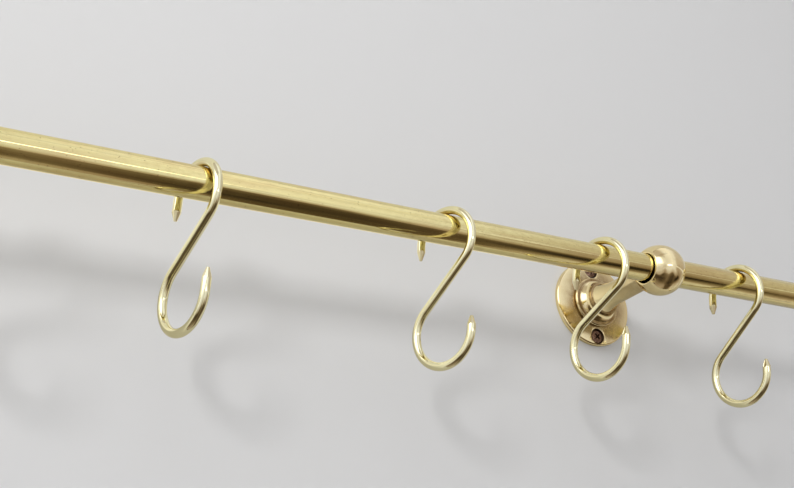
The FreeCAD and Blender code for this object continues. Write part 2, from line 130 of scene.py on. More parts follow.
class Wiring:
    """Short words for building a node tree."""

    def __init__(self, tree):
        self.tree = tree

    def feed(self, socket, value):
        if isinstance(value, bpy.types.NodeSocket):
            self.tree.links.new(value, socket)
        else:
            socket.default_value = value

    def node(self, kind, inputs=None, **settings):
        made = self.tree.nodes.new(kind)
        for name, value in settings.items():
            setattr(made, name, value)
        for key, value in (inputs or {}).items():
            self.feed(made.inputs[key], value)
        return made

    def out(self, kind, inputs=None, **settings):
        return self.node(kind, inputs, **settings).outputs[0]

    def math(self, operation, *values):
        return self.out("ShaderNodeMath", dict(enumerate(values)), operation=operation)

    def times(self, first, second):
        return self.math("MULTIPLY", first, second)

    def minus(self, value):
        return self.times(value, -1.0)

    def apart(self, value, middle):
        """How far a value is from a middle, either way."""
        return self.math("ABSOLUTE", self.math("SUBTRACT", value, middle))

    def vector(self, operation, *values):
        return self.out("ShaderNodeVectorMath", dict(enumerate(values)), operation=operation)

    def scaled(self, vector, factor):
        return self.out("ShaderNodeVectorMath", {0: vector, "Scale": factor}, operation="SCALE")

    def length(self, vector):
        return self.node("ShaderNodeVectorMath", {0: vector}, operation="LENGTH").outputs["Value"]

    def split(self, vector):
        """The sockets X, Y and Z of a vector."""
        return self.node("ShaderNodeSeparateXYZ", {0: vector}).outputs

    def point(self, x, y, z=0.0):
        return self.out("ShaderNodeCombineXYZ", {"X": x, "Y": y, "Z": z})

    def mix(self, factor, first, second):
        """A blend of two colours."""
        inputs = {0: factor, 6: opaque(first), 7: opaque(second)}
        return self.node("ShaderNodeMix", inputs, data_type="RGBA").outputs[2]

    def layers(self, colour, covers):
        """A colour under others: pairs of how much each covers, and its colour."""
        for cover, tone in covers:
            colour = self.mix(cover, colour, tone)
        return colour

    def remap(self, value, low, high, new_low=0.0, new_high=1.0, smooth=False):
        style = "SMOOTHSTEP" if smooth else "LINEAR"
        inputs = {"Value": value, "From Min": low, "From Max": high, "To Min": new_low, "To Max": new_high}
        return self.out("ShaderNodeMapRange", inputs, interpolation_type=style)

    def rise(self, value, low, high, most=1.0):
        """Smoothly from nothing at low to the most at high."""
        return self.remap(value, low, high, 0.0, most, smooth=True)

    def fall(self, value, low, high, most=1.0):
        """Smoothly from the most at low to nothing at high."""
        return self.remap(value, low, high, most, 0.0, smooth=True)

    def noise(self, place, stretch, detail=2.0, roughness=0.5):
        """Noise whose cells are as long as the stretch says, in millimetres along each axis."""
        scale = tuple(1 / (length * MM) for length in stretch)
        stretched = self.out("ShaderNodeMapping", {"Vector": place, "Scale": scale})
        inputs = {"Vector": stretched, "Scale": 1.0, "Detail": detail, "Roughness": roughness}
        return self.out("ShaderNodeTexNoise", inputs)

    def attribute(self, name, output="Fac"):
        return self.node("ShaderNodeAttribute", attribute_name=name).outputs[output]

    def store(self, geometry, name, value, kind="FLOAT"):
        inputs = {"Geometry": geometry, "Name": name, "Value": value}
        return self.out("GeometryNodeStoreNamedAttribute", inputs, data_type=kind, domain="POINT")

    def stored(self, name, kind="FLOAT"):
        return self.out("GeometryNodeInputNamedAttribute", {"Name": name}, data_type=kind)

    def moved(self, geometry, **placing):
        return self.out("GeometryNodeTransform", {"Geometry": geometry, **placing})


# Finishes

def bare_material(name):
    """An empty material and its wiring."""
    material = bpy.data.materials.new(name)
    material.use_nodes = True
    material.node_tree.nodes.clear()
    return material, Wiring(material.node_tree)


def new_finish(name):
    """A material with its wiring, its metal shader and the object coordinates."""
    material, wiring = bare_material(name)
    metal = wiring.node("ShaderNodeBsdfPrincipled", {"Metallic": 1.0})
    wiring.node("ShaderNodeOutputMaterial", {"Surface": metal.outputs[0]})
    place = wiring.node("ShaderNodeTexCoord").outputs["Object"]
    return material, wiring, metal, place


def dress(wiring, metal, colour, roughness, relief):
    """Feeds the metal. The relief is pairs of a height map and its depth in millimetres."""
    wiring.feed(metal.inputs["Base Color"], colour)
    wiring.feed(metal.inputs["Roughness"], roughness)
    normal = None
    for height, depth in relief:
        inputs = {"Height": height, "Distance": depth * MM, "Strength": 1.0}
        if normal is not None:
            inputs["Normal"] = normal
        normal = wiring.out("ShaderNodeBump", inputs)
    wiring.feed(metal.inputs["Normal"], normal)


def drawn_rail_brass():
    """Drawn tube, burnished along its length, with brown patches of handling and a few specks."""
    material, wiring, metal, place = new_finish("drawn_rail_brass")
    lines = wiring.noise(place, (60, 0.35, 0.35), 3.0)
    broad_lines = wiring.noise(place, (320, 2, 2), 2.0)
    patches = wiring.noise(place, (70, 9, 9), 3.0, 0.6)
    smudges = wiring.noise(place, (14, 5, 5), 4.0, 0.65)
    specks = wiring.noise(place, (1.1, 0.7, 0.7), 1.0)
    scores = wiring.noise(place, (140, 0.7, 0.7), 2.0)
    mottles = wiring.noise(place, (5, 2, 2), 3.0, 0.6)
    worn = wiring.remap(wiring.noise(place, (130, 90, 90), 1.0), 0.4, 0.6, 0.15, 1.0)
    streaked = wiring.remap(broad_lines, 0.38, 0.66, 0.0, 0.7)
    handled = wiring.rise(patches, 0.46, 0.68, 0.65)
    smudged = wiring.rise(smudges, 0.52, 0.78, 0.45)
    mottled = wiring.times(worn, wiring.remap(mottles, 0.42, 0.72, 0.0, 0.5))
    scored = wiring.times(worn, wiring.rise(scores, 0.64, 0.72, 0.5))
    speckled = wiring.rise(specks, 0.71, 0.77, 0.75)
    covers = [
        (streaked, (0.780, 0.660, 0.285)),
        (handled, (0.730, 0.560, 0.270)),
        (smudged, (0.790, 0.690, 0.370)),
        (mottled, (0.640, 0.510, 0.230)),
        (scored, (0.400, 0.290, 0.120)),
        (speckled, (0.250, 0.150, 0.060)),
    ]
    colour = wiring.layers((0.890, 0.805, 0.395), covers)
    drawn = wiring.remap(lines, 0.3, 0.7, 0.07, 0.13)
    roughness = wiring.math("MULTIPLY_ADD", smudged, 0.1, drawn)
    dress(wiring, metal, colour, roughness, [(lines, 0.004), (broad_lines, 0.07)])
    return material


def hook_wire_brass():
    """Pale bright wire with fine drawing lines, ground ends, and brown near the rail: wear where it rubs, and
    painted shade on its inner side in the gap.
    """
    material, wiring, metal, place = new_finish("hook_wire_brass")
    along = wiring.attribute("wire_place", "Vector")
    ground = wiring.attribute("ground")
    lines = wiring.noise(along, (25, 0.22, 0.22), 2.0)
    ripples = wiring.noise(along, (9, 3, 3), 1.0)
    clouds = wiring.noise(place, (16, 16, 12), 3.0)
    scratches = wiring.noise(along, (0.12, 1.5, 1.5), 2.0)
    spot = wiring.split(place)
    from_axis = wiring.length(wiring.point(wiring.math("ADD", spot["Y"], STAND_OFF), spot["Z"]))
    covers = [
        (wiring.rise(clouds, 0.42, 0.68, 0.6), (0.860, 0.800, 0.480)),
        (wiring.times(ground, 0.7), (0.780, 0.700, 0.450)),
        # Browner near the rail: wear where the wire rubs, and painted shade on the wire's inner side in the
        # gap
        (wiring.fall(from_axis, RAIL_R + 0.4 * MM, RAIL_R + 3.4 * MM, 0.9), (0.420, 0.310, 0.130)),
    ]
    colour = wiring.layers((0.900, 0.860, 0.570), covers)
    drawn = wiring.remap(lines, 0.3, 0.7, 0.05, 0.10)
    scratched = wiring.remap(scratches, 0.3, 0.7, 0.02, 0.16)
    roughness = wiring.math("MULTIPLY_ADD", ground, scratched, drawn)
    dress(wiring, metal, colour, roughness, [(ripples, 0.05), (lines, 0.003)])
    return material


def cast_bracket_brass():
    """Cast brass polished by hand: uneven, rosier than the wire, brown with patina and painted shade in its
    creases, and painted near-black shadow in the bore and round the screw heads.
    """
    material, wiring, metal, place = new_finish("cast_bracket_brass")
    tarnish = wiring.attribute("tarnish")
    waves = wiring.noise(place, (9, 9, 9), 1.0)
    clouds = wiring.noise(place, (7, 7, 7), 4.0, 0.6)
    scuffs = wiring.noise(place, (0.35, 2.2, 0.9), 3.0)
    pits = wiring.noise(place, (0.55, 0.55, 0.55), 1.0)
    uneven = wiring.remap(clouds, 0.30, 0.65, 0.55, 1.0)
    covers = [
        (wiring.rise(clouds, 0.42, 0.70, 0.55), (0.840, 0.690, 0.365)),
        (wiring.rise(pits, 0.76, 0.80, 0.6), (0.300, 0.180, 0.080)),
        # Patina with painted shade in the creases; above 1, painted near-black shadow in the bore and round
        # the screw heads
        (wiring.times(tarnish, uneven), (0.230, 0.130, 0.050)),
        (wiring.remap(tarnish, 1.0, 1.6), (0.030, 0.018, 0.010)),
    ]
    colour = wiring.layers((0.880, 0.755, 0.440), covers)
    polish = wiring.remap(scuffs, 0.3, 0.7, 0.03, 0.08)
    roughness = wiring.math("MULTIPLY_ADD", tarnish, 0.25, polish)
    dress(wiring, metal, colour, roughness, [(waves, 0.12), (scuffs, 0.004)])
    return material


def turned_cap_brass():
    """The caps: brass with the fine rings of the lathe about the rail's axis."""
    material, wiring, metal, place = new_finish("turned_cap_brass")
    centred = wiring.vector("ADD", place, (0.0, STAND_OFF, 0.0))
    radius = wiring.length(wiring.vector("MULTIPLY", centred, (0.0, 1.0, 1.0)))
    rings = wiring.noise(wiring.point(radius, wiring.split(place)["X"]), (0.25, 0.25, 1000), 2.0)
    clouds = wiring.noise(place, (6, 6, 6), 4.0)
    clouded = wiring.rise(clouds, 0.45, 0.72, 0.5)
    colour = wiring.mix(clouded, (0.870, 0.710, 0.330), (0.780, 0.570, 0.240))
    dress(wiring, metal, colour, wiring.remap(rings, 0.3, 0.7, 0.16, 0.26), [(rings, 0.006)])
    return material


def bronzed_screw_metal():
    """Dark bronzed screws, rubbed through to a warmer brown."""
    material, wiring, metal, place = new_finish("bronzed_screw_metal")
    rubs = wiring.noise(place, (1.3, 1.3, 1.3), 4.0, 0.6)
    grain = wiring.noise(place, (0.2, 0.2, 0.2), 2.0)
    rubbed = wiring.rise(rubs, 0.45, 0.70)
    colour = wiring.mix(rubbed, (0.150, 0.085, 0.055), (0.380, 0.240, 0.170))
    dress(wiring, metal, colour, wiring.remap(grain, 0.3, 0.7, 0.30, 0.48), [(grain, 0.01)])
    return material


def joining_steel_metal():
    """Plain zinc-grey steel of the screws inside the brackets."""
    material, wiring, metal, place = new_finish("joining_steel_metal")
    clouds = wiring.noise(place, (2.5, 2.5, 2.5), 3.0)
    grain = wiring.noise(place, (0.25, 0.25, 0.25), 2.0)
    colour = wiring.mix(clouds, (0.560, 0.560, 0.550), (0.420, 0.410, 0.390))
    dress(wiring, metal, colour, wiring.remap(grain, 0.3, 0.7, 0.28, 0.42), [(grain, 0.006)])
    return material


FINISHES = {
    "rail_brass": drawn_rail_brass(),
    "hook_brass": hook_wire_brass(),
    "bracket_brass": cast_bracket_brass(),
    "cap_brass": turned_cap_brass(),
    "bronzed_screws": bronzed_screw_metal(),
    "joining_steel": joining_steel_metal(),
}


# Turned pieces

def arc_run(start, end, radius, side, step=math.radians(4)):
    """Points after start on an arc to end. Side 1 bulges to the right of the way, and -1 to the left."""
    start, end = Vector(start), Vector(end)
    chord = end - start
    across = Vector((-chord.y, chord.x)).normalized()
    rise = math.sqrt(max(radius ** 2 - (chord.length / 2) ** 2, 0))
    centre = (start + end) / 2 + across * (side * rise)
    first = math.atan2(start.y - centre.y, start.x - centre.x)
    sweep = (math.atan2(end.y - centre.y, end.x - centre.x) - first) * side % math.tau
    count = max(2, math.ceil(sweep / step))
    turns = [first + side * sweep * index / count for index in range(1, count)]
    return [centre + Vector((math.cos(turn), math.sin(turn))) * radius for turn in turns] + [end]


def even_turns(segments):
    return [math.tau * index / segments for index in range(segments)]


def on_circle(radius, turn, along):
    """A point about the Z axis."""
    return radius * math.cos(turn), radius * math.sin(turn), along


def skin(mesh, *rings):
    """Closes the bands between rings of points, in their order. A ring of one point is a pole."""
    for first, second in zip(rings, rings[1:]):
        count = max(len(first), len(second))
        for index in range(count):
            after = (index + 1) % count
            corners = [first[index % len(first)], first[after % len(first)]]
            corners += [second[after % len(second)], second[index % len(second)]]
            mesh.faces.new(list(dict.fromkeys(corners)))


def turned_shell(outline, segments):
    """A mesh turned from an outline of (across, along) points about the along axis, which is Z."""
    mesh = bmesh.new()
    rings = []
    for across, along in outline:
        turns = even_turns(segments) if across > 1e-7 else [0.0]
        rings.append([mesh.verts.new(on_circle(across, turn, along)) for turn in turns])
    skin(mesh, *rings)
    if len(rings[0]) > 1 or len(rings[-1]) > 1:
        skin(mesh, rings[-1], rings[0])
    bmesh.ops.recalc_face_normals(mesh, faces=mesh.faces)
    return mesh


def new_object(name, mesh):
    """An object from an edit mesh, linked to the scene."""
    data = bpy.data.meshes.new(name)
    mesh.to_mesh(data)
    mesh.free()
    made = bpy.data.objects.new(name, data)
    bpy.context.scene.collection.objects.link(made)
    return made


def settle(piece, sharp_angle=CRISP):
    """Turns a piece with its modifiers into a plain smooth mesh with crisp edges."""
    graph = bpy.context.evaluated_depsgraph_get()
    data = bpy.data.meshes.new_from_object(piece.evaluated_get(graph))
    data.name = piece.name
    piece.modifiers.clear()
    piece.data = data
    data.shade_smooth()
    data.set_sharp_from_angle(angle=sharp_angle)


def soften(piece, width):
    """Rounds the edges of a piece a little."""
    bevel = piece.modifiers.new("soft_edges", "BEVEL")
    bevel.width = width
    bevel.segments = 3
    bevel.limit_method = "ANGLE"
    bevel.angle_limit = CRISP


def carve(piece, cutters):
    """Cuts the cutters out of a piece."""
    for cutter in cutters:
        cut = piece.modifiers.new("cut", "BOOLEAN")
        cut.operation = "DIFFERENCE"
        cut.solver = "EXACT"
        cut.object = cutter
    settle(piece)
    for cutter in cutters:
        bpy.data.objects.remove(cutter)


def turned_object(name, outline, place, segments):
    piece = new_object(name, turned_shell(outline, segments))
    piece.data.transform(place)
    return piece


def turned_piece(name, outline, place, segments, edge):
    """A smooth turned piece whose edges are rounded by the given width."""
    piece = turned_object(name, outline, place, segments)
    soften(piece, edge)
    settle(piece)
    return piece


def axes(x, y, z, place):
    """A placement whose local axes point along the three given ways."""
    turned = Matrix((x, y, z)).transposed().to_4x4()
    return Matrix.Translation(place) @ turned


def facing_room(side):
    """Local Z stands out from the wall at a bracket."""
    return axes((1, 0, 0), (0, 0, 1), (0, -1, 0), (side * BRACKET_X, 0, 0))


def along_rail(side, distance):
    """Local Z runs out along the rail towards one end."""
    across = ((0, 1, 0), (0, 0, 1)) if side > 0 else ((0, 0, 1), (0, 1, 0))
    return axes(*across, (side, 0, 0), (side * distance, -STAND_OFF, 0))


def finish_piece(piece, body, slot, *nodes):
    """Gives a finished piece its metal, its body and the nodes that it stands for."""
    piece.data.materials.clear()
    piece.data.materials.append(FINISHES[slot])
    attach(piece, body)
    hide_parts(*nodes)


def store_tarnish_and_shade(piece, rule):
    """Stores how much patina and painted shade each point gets, from a rule on its place."""
    marks = piece.data.attributes.new("tarnish", "FLOAT", "POINT")
    marks.data.foreach_set("value", [rule(vertex.co) for vertex in piece.data.vertices])


def near(distance, reach):
    """1 at a crevice, falling to 0 at the reach."""
    return max(0.0, 1 - abs(distance) / reach) ** 1.5


def make_rail():
    inner = RAIL_R - RAIL_WALL
    outline = [(RAIL_R, -RAIL_HALF), (RAIL_R, RAIL_HALF), (inner, RAIL_HALF), (inner, -RAIL_HALF)]
    rail = turned_piece("rail", outline, along_rail(1, 0), segments=160, edge=0.15 * MM)
    finish_piece(rail, "rail_on_wall", "rail_brass", "rail_tube")


def make_cap(name, side):
    """A domed cap with a spigot in the tube."""
    spigot = RAIL_R - RAIL_WALL - CAP_CLEARANCE
    dome = CAP_HEIGHT - CAP_COLLAR
    dome_radius = (CAP_R ** 2 + dome ** 2) / (2 * dome)
    outline = [(0, -CAP_SPIGOT), (spigot, -CAP_SPIGOT), (spigot, 0), (CAP_R, 0), (CAP_R, CAP_COLLAR)]
    outline += arc_run(outline[-1], (0, CAP_HEIGHT), dome_radius, 1)
    cap = turned_piece(f"cap_{name}", outline, along_rail(side, RAIL_HALF), segments=128, edge=0.5 * MM)
    finish_piece(cap, "rail_on_wall", "cap_brass", f"end_cap_{name}")


def screw_hole_cutter(side, level):
    """The countersunk hole of a wall screw, flared a little where it meets the sloping face."""
    below = -1 * MM
    top = ROSE_CROWN * 2
    seat_depth = SCREW_SEAT - SCREW_HEAD_R + SCREW_HOLE_R
    up_slope = 0.42
    face = ROSE_RIM + (ROSE_CROWN - ROSE_RIM) * up_slope
    mouth = SCREW_HEAD_R + face - SCREW_SEAT
    flare = 0.45 * MM
    outline = [(0, below), (SCREW_HOLE_R, below), (SCREW_HOLE_R, seat_depth), (mouth - flare, face - flare)]
    outline += arc_run(outline[-1], (mouth + flare, face + flare * 0.3), flare * 3, -1, math.radians(8))
    outline += [(mouth + flare * 2.5, top), (0, top)]
    place = Matrix.Translation((0, 0, level * SCREW_SPACING / 2)) @ facing_room(side)
    return turned_object("screw_hole", outline, place, 64)


def make_rose(name, side):
    """The plate on the wall, with two screw holes and the sunk hole behind the arm."""
    hole = JOINT_R + JOINT_CLEARANCE
    outline = [(FIXING_HEAD_R, 0), (ROSE_R, 0), (ROSE_R, ROSE_RIM - ROSE_RIM_ROUND)]
    outline += arc_run(outline[-1], (ROSE_R - ROSE_RIM_ROUND, ROSE_RIM), ROSE_RIM_ROUND, 1, math.radians(9))
    outline += [(FOOT_R, ROSE_CROWN), (hole, ROSE_CROWN), (hole, FIXING_SINK + FIXING_HEAD_R - hole)]
    outline += [(FIXING_HEAD_R, FIXING_SINK)]
    rose = turned_piece(f"rose_{name}", outline, facing_room(side), segments=192, edge=0.2 * MM)
    carve(rose, [screw_hole_cutter(side, level) for level in (-1, 1)])

    # Patina and painted shade round the arm's foot, weaker at the back, and painted near-black shadow in the
    # countersink round each screw head
    def tarnish(point):
        from_axis = math.hypot(point.x - side * BRACKET_X, point.z)
        from_hole = math.hypot(point.x - side * BRACKET_X, abs(point.z) - SCREW_SPACING / 2)
        front = 1.0 if point.y < -1 * MM else 0.3
        around_head = max(from_hole - SCREW_HEAD_R - 0.8 * MM, 0)
        # Painted near-black shadow in the countersink round the screw head
        hole_shade = 1.6 * near(around_head, 0.6 * MM)
        return front * max(near(from_axis - FOOT_R, 1.6 * MM), hole_shade)

    store_tarnish_and_shade(rose, tarnish)
    finish_piece(rose, "rail_on_wall", "bracket_brass", f"wall_rose_{name}")


def make_arm(name, side):
    """The turned arm: beaded foot, cove, collar and flared shank, tapped at both ends."""
    collar_top = COLLAR_BASE + COLLAR_HEIGHT
    ledge_r = FOOT_R - FOOT_BEAD - FOOT_LEDGE
    screw_depth = JOINT_GRIP + END_CLEARANCE
    stud_depth = ARM_LENGTH - STUD_GRIP - END_CLEARANCE
    outline = [(0, screw_depth), (JOINT_R, screw_depth), (JOINT_R, 0), (FOOT_R - FOOT_BEAD, 0)]
    outline += arc_run(outline[-1], (FOOT_R - FOOT_BEAD, 2 * FOOT_BEAD), FOOT_BEAD, 1, math.radians(9))
    outline.append((ledge_r, 2 * FOOT_BEAD))
    outline += arc_run(outline[-1], (COLLAR_R, COLLAR_BASE), COVE_RADIUS, -1)
    outline += [(COLLAR_R, collar_top), (COLLAR_R - COLLAR_STEP, collar_top)]
    outline += arc_run(outline[-1], (ARM_R, collar_top + FLARE_LENGTH), FLARE_RADIUS, -1, math.radians(1.5))
    outline += [(ARM_END_R, ARM_LENGTH), (JOINT_R, ARM_LENGTH), (JOINT_R, stud_depth), (0, stud_depth)]
    lifted = facing_room(side) @ Matrix.Translation((0, 0, ROSE_CROWN))
    arm = turned_piece(f"arm_{name}", outline, lifted, segments=128, edge=0.22 * MM)

    # Patina and painted shade in the arm's creases: at the rose, over the bead, at both sides of the collar
    # and at the ball
    def tarnish(point):
        height = -point.y - ROSE_CROWN
        creases = [(0, 1.1), (2 * FOOT_BEAD, 0.9), (COLLAR_BASE, 0.6), (collar_top, 0.9), (ARM_LENGTH, 0.8)]
        return max(near(height - level, reach * MM) for level, reach in creases)

    store_tarnish_and_shade(arm, tarnish)
    finish_piece(arm, "rail_on_wall", "bracket_brass", f"bracket_arm_{name}")


def ball_cutters(middle, half):
    """The bore with its rounded lips, the flat seat on the arm, and the holes of stud and grub screw."""
    beyond = BALL_R * 1.2
    lip_r = BORE_R + BORE_LIP
    lip_step = math.radians(15)
    bore = [(0, -beyond), (lip_r, -beyond), (lip_r, -half)]
    bore += arc_run(bore[-1], (BORE_R, -half + BORE_LIP), BORE_LIP, -1, lip_step)
    bore.append((BORE_R, half - BORE_LIP))
    bore += arc_run(bore[-1], (lip_r, half), BORE_LIP, -1, lip_step)
    bore += [(lip_r, beyond), (0, beyond)]
    to_bore = Matrix.Translation((0, 0, -BORE_DROP)) @ along_rail(1, middle.x)
    to_wall = axes((1, 0, 0), (0, 0, -1), (0, 1, 0), (0, 0, 0))
    at_ball = Matrix.Translation(middle)
    to_grub = at_ball @ Matrix.Rotation(-GRUB_ANGLE, 4, "X") @ to_wall
    to_wall = at_ball @ to_wall
    holes = [(bore, to_bore)]
    for radius, start, place in (
        (ARM_END_R * 1.3, BALL_SEAT, to_wall),
        (JOINT_R, RAIL_R, to_wall),
        (GRUB_R, RAIL_R, to_grub),
    ):
        holes.append(([(0, start), (radius, start), (radius, beyond), (0, beyond)], place))
    return [turned_object("hole", section, place, 96) for section, place in holes]


def make_ball(name, side):
    """The bored ball with flat rims, through which the rail passes."""
    rim = BORE_R + BALL_RIM
    half = math.sqrt(BALL_R ** 2 - rim ** 2)
    middle = Vector((side * BRACKET_X, -STAND_OFF, 0))
    outline = [(0, -half), (rim, -half)]
    outline += arc_run(outline[-1], (rim, half), BALL_R, 1, math.radians(2))
    outline.append((0, half))
    ball = turned_piece(f"ball_{name}", outline, along_rail(1, middle.x), segments=160, edge=0.45 * MM)
    carve(ball, ball_cutters(middle, half))

    # Painted near-black shadow in the bore, and patina with painted shade at the seat round the arm
    def tarnish(point):
        from_axis = math.hypot(point.y + STAND_OFF, point.z + BORE_DROP)
        inside = 1.3 if from_axis < BORE_R + 0.05 * MM else 0.0
        to_arm = math.hypot(point.x - middle.x, point.z) - ARM_END_R
        seat = near(to_arm, 1.2 * MM) if point.y > -STAND_OFF else 0.0
        return max(inside, seat)

    store_tarnish_and_shade(ball, tarnish)
    finish_piece(ball, "rail_on_wall", "bracket_brass", f"bracket_ball_{name}")


# Geometry trees

def new_tree(name, inputs, output):
    """A tree of geometry nodes, its wiring and its named inputs."""
    tree = bpy.data.node_groups.new(name, "GeometryNodeTree")
    for label, kind in inputs.items():
        tree.interface.new_socket(label, in_out="INPUT", socket_type=kind)
    tree.interface.new_socket(output, in_out="OUTPUT", socket_type="NodeSocketGeometry")
    wiring = Wiring(tree)
    return tree, wiring, wiring.node("NodeGroupInput").outputs


def close_tree(wiring, geometry, metal, output):
    """Ends a tree with plain meshes of one metal."""
    geometry = wiring.out("GeometryNodeRealizeInstances", {"Geometry": geometry})
    geometry = wiring.out("GeometryNodeSetMaterial", {"Geometry": geometry, "Material": metal})
    wiring.node("NodeGroupOutput", {output: geometry})


def grow(name, tree, values, sharp_angle):
    """A plain mesh object from a tree of geometry nodes and its named inputs."""
    piece = new_object(name, bmesh.new())
    nodes = piece.modifiers.new("nodes", "NODES")
    nodes.node_group = tree
    for socket in tree.interface.items_tree:
        if socket.in_out == "INPUT":
            nodes[socket.identifier] = values[socket.name]
    settle(piece, sharp_angle)
    return piece


# Screws

def screw_radius(sizes, depth, turn):
    """The radius of a screw at a depth below its rim, with the thread wound round its shank."""
    head, neck, shank, thread = sizes["head"], sizes["neck"], sizes["shank"], sizes["thread"]
    cone = head - neck
    if depth <= cone:
        return head - max(depth - HEAD_EDGE, 0) * cone / (cone - HEAD_EDGE)
    if depth <= sizes["shank_start"]:
        return neck + (shank - neck) * (depth - cone) / (sizes["shank_start"] - cone)
    if depth < thread:
        return shank
    windings = (depth - thread) / sizes["pitch"]
    ridge_half = 0.32
    ridge = max(0.0, 1 - abs((windings - turn / math.tau) % 1 - 0.5) / ridge_half)
    core = shank + (sizes["root"] - shank) * min(1.0, windings)
    to_end = sizes["length"] - depth
    if sizes["point"]:
        taper = to_end / sizes["point"] + 0.08
    else:
        taper = to_end / (shank - sizes["root"]) * 0.3 + 0.8
    return (core + (shank - core) * ridge) * min(1.0, taper)


def screw_shell(sizes):
    """A countersunk screw from its domed head down Z."""
    head, dome, end, thread = sizes["head"], sizes["dome"], sizes["length"], sizes["thread"]
    step = sizes["pitch"] / 12
    depths = [HEAD_EDGE, head - sizes["neck"], sizes["shank_start"]]
    depths += [thread + step * index for index in range(math.ceil((end - thread) / step))]
    turns = even_turns(48)
    mesh = bmesh.new()
    rings = []
    for share in (0.2, 0.4, 0.6, 0.75, 0.87, 0.95, 0.985):
        raised = dome * (1 - share ** 2)
        rings.append([mesh.verts.new(on_circle(head * share, turn, -raised)) for turn in turns])
    for depth in depths:
        points = [on_circle(screw_radius(sizes, depth, turn), turn, depth) for turn in turns]
        rings.append([mesh.verts.new(point) for point in points])
    skin(mesh, *rings)
    for ring, depth in ((rings[0], -dome), (rings[-1], end)):
        skin(mesh, ring, [mesh.verts.new((0, 0, depth))])
    bmesh.ops.recalc_face_normals(mesh, faces=mesh.faces)
    return mesh


def cross_cutter(span, width, depth):
    """A cross that narrows towards its bottom."""
    mesh = bmesh.new()
    long, short, above = span / 2, width / 2, 1 * MM
    steps = [(long, short), (short, short), (short, long)]
    corners = []
    for quarter in range(4):
        turned = Matrix.Rotation(quarter * math.pi / 2, 2)
        corners += [turned @ Vector(step) for step in steps]
    rings = []
    for level, shrink in ((-above, 1.08), (0, 1.0), (depth * 0.55, 0.72), (depth, 0.34)):
        rings.append([mesh.verts.new((x * shrink, y * (0.5 + shrink / 2), level)) for x, y in corners])
    skin(mesh, *rings)
    mesh.faces.new(rings[0])
    mesh.faces.new(rings[-1])
    bmesh.ops.recalc_face_normals(mesh, faces=mesh.faces)
    return new_object("cross", mesh)


def screw_set_tree():
    """Sets one screw at each corner of a grid on the wall, each turned by its own amount."""
    kinds = {
        "Screw": "NodeSocketObject",
        "Spacing along rail": "NodeSocketFloat",
        "Spacing upright": "NodeSocketFloat",
        "Rows": "NodeSocketInt",
        "Out from wall": "NodeSocketFloat",
        "Facing": "NodeSocketVector",
        "Seed": "NodeSocketInt",
        "Metal": "NodeSocketMaterial",
    }
    tree, wiring, given = new_tree("screw_set", kinds, "Screws")
    sizes = {"Size X": given["Spacing along rail"], "Size Y": given["Spacing upright"]}
    grid = wiring.out("GeometryNodeMeshGrid", {**sizes, "Vertices X": 2, "Vertices Y": given["Rows"]})
    out = wiring.point(0.0, wiring.minus(given["Out from wall"]))
    grid = wiring.moved(grid, Translation=out, Rotation=Euler((math.pi / 2, 0, 0)))
    screw = wiring.node("GeometryNodeObjectInfo", {"Object": given["Screw"]}).outputs["Geometry"]
    facing = wiring.out("FunctionNodeEulerToRotation", {"Euler": given["Facing"]})
    placed = {"Points": grid, "Instance": screw, "Rotation": facing}
    screws = wiring.out("GeometryNodeInstanceOnPoints", placed)
    turn = wiring.node("FunctionNodeRandomValue", {"Seed": given["Seed"]}, data_type="FLOAT")
    wiring.feed(turn.inputs[3], math.pi / 2)
    roll = wiring.out("FunctionNodeEulerToRotation", {"Euler": wiring.point(0.0, 0.0, turn.outputs[1])})
    rolled = {"Instances": screws, "Rotation": roll, "Local Space": True}
    screws = wiring.out("GeometryNodeRotateInstances", rolled)
    close_tree(wiring, screws, given["Metal"], "Screws")
    return tree


def make_screws(tree, name, sizes, placing, slot, nodes):
    head = sizes["head"]
    screw = new_object("one_screw", screw_shell(sizes))
    carve(screw, [cross_cutter(span=head * 1.12, width=head * 0.27, depth=head * 0.42)])
    values = {"Screw": screw, "Spacing along rail": 2 * BRACKET_X, "Metal": FINISHES[slot], **placing}
    screws = grow(name, tree, values, math.radians(38))
    bpy.data.objects.remove(screw)
    finish_piece(screws, "rail_on_wall", slot, *nodes)


def make_all_screws():
    """The wall screws, and the screws that hold the arms from behind."""
    tree = screw_set_tree()
    wall_sizes = {
        "head": SCREW_HEAD_R,
        "dome": 0.55 * MM,
        "neck": 2.3 * MM,
        "shank_start": SCREW_SEAT,
        "shank": 2.1 * MM,
        "root": 1.5 * MM,
        "thread": 14 * MM,
        "pitch": 2 * MM,
        "length": 38 * MM,
        "point": 5 * MM,
    }
    into_wall = {
        "Spacing upright": SCREW_SPACING,
        "Rows": 2,
        "Out from wall": SCREW_SEAT,
        "Facing": (-math.pi / 2, 0.0, 0.0),
        "Seed": 5,
    }
    wall_nodes = [f"wall_screw_{side}_{level}" for side in SIDES for level in ("upper", "lower")]
    make_screws(tree, "wall_screws", wall_sizes, into_wall, "bronzed_screws", wall_nodes)

    shank = JOINT_R - JOINT_CLEARANCE
    cone = FIXING_HEAD_R - shank
    fixing_sizes = {
        "head": FIXING_HEAD_R,
        "dome": 0,
        "neck": shank,
        "shank_start": cone + 0.5 * MM,
        "shank": shank,
        "root": shank - 0.5 * MM,
        "thread": cone + 1 * MM,
        "pitch": 1 * MM,
        "length": ROSE_CROWN - FIXING_SINK + JOINT_GRIP,
        "point": 0,
    }
    into_arm = {
        "Spacing upright": 0.0,
        "Rows": 1,
        "Out from wall": FIXING_SINK,
        "Facing": (math.pi / 2, 0.0, 0.0),
        "Seed": 2,
    }
    fixing_nodes = [f"arm_fixing_screw_{side}" for side in SIDES]
    make_screws(tree, "fixing_screws", fixing_sizes, into_arm, "joining_steel", fixing_nodes)


# Hooks

HOOK_SIZES = {
    "Wire radius": WIRE_R,
    "Upper loop": UPPER_LOOP,
    "Lower loop": LOWER_LOOP,
    "Point length": POINT_LENGTH,
    "Point end": POINT_END_R,
}


